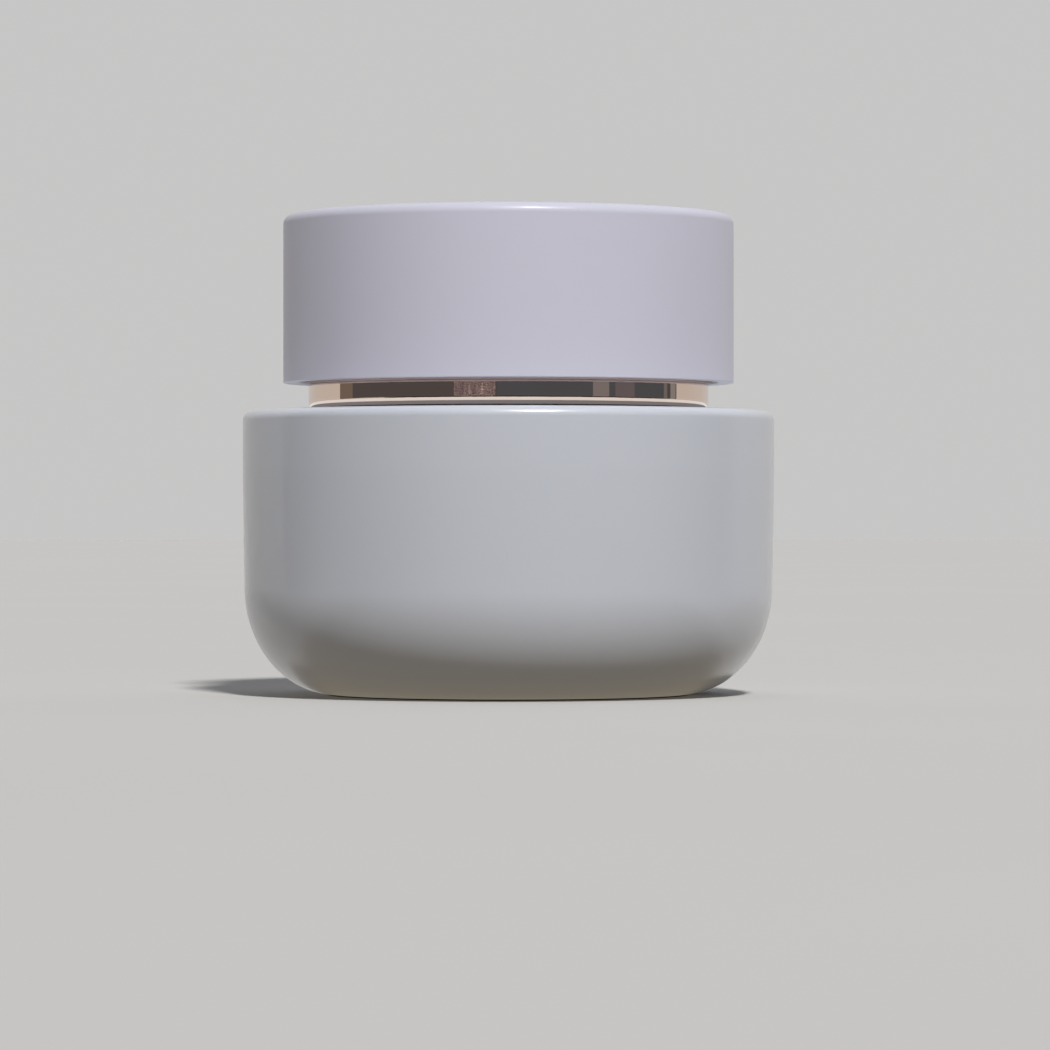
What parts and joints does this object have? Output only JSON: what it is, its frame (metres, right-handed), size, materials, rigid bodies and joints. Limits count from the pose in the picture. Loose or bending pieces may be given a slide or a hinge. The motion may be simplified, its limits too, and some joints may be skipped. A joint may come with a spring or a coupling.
{
  "type": "cosmetic cream jar",
  "caption": "Round cosmetic cream jar with an inner cup, a metallic collar, a loose sealing disc and a two-part screw lid.",
  "frame": {"origin": "centre of the jar's base, on the surface that it stands on", "axes": "+Z along the jar's axis, up through the lid; X and Y level, with the sealing disc's pull tab at +X"},
  "size_m": [0.062, 0.062, 0.0561],
  "materials": {
    "jar_white": "milky bluish white, high gloss",
    "cup_plastic": "natural white moulded polypropylene, semi-matt",
    "rose_gold": "mirror-polished rose gold metallised ring",
    "disc_plastic": "translucent white moulded plastic, semi-matt",
    "lid_lavender": "pale lavender white, satin gloss",
    "insert_plastic": "white moulded polypropylene",
    "liner_foam": "white closed-cell foam sheet, matt"
  },
  "bodies": {
    "jar": {"outer_jar": "jar_white", "inner_cup": "cup_plastic", "collar_ring": "rose_gold"},
    "liner": {"cap_liner": "liner_foam"},
    "cap": {"cap_shell": "lid_lavender", "cap_insert": "insert_plastic"},
    "disc": {"sealing_disc": "disc_plastic"}
  },
  "joints": [
    {"name": "cap_rise", "type": "slide", "parent": "jar", "child": "liner", "axis": [0, 0, 1], "range_m": [0, 0.0245]},
    {"name": "cap_turn", "type": "hinge", "parent": "liner", "child": "cap", "pos_m": [0, 0, 0.03625], "axis": [0, 0, 1], "range_deg": [0, 1080]},
    {"name": "disc_rise", "type": "slide", "parent": "jar", "child": "disc", "axis": [0, 0, 1], "range_m": [0, 0.0085]}
  ],
  "couplings": [
    {"joint": "cap_rise", "follows": "cap_turn", "m_per_rad": 0.0012732},
    {"joint": "disc_rise", "follows": "cap_turn", "m_per_rad": 0.00042441}
  ]
}
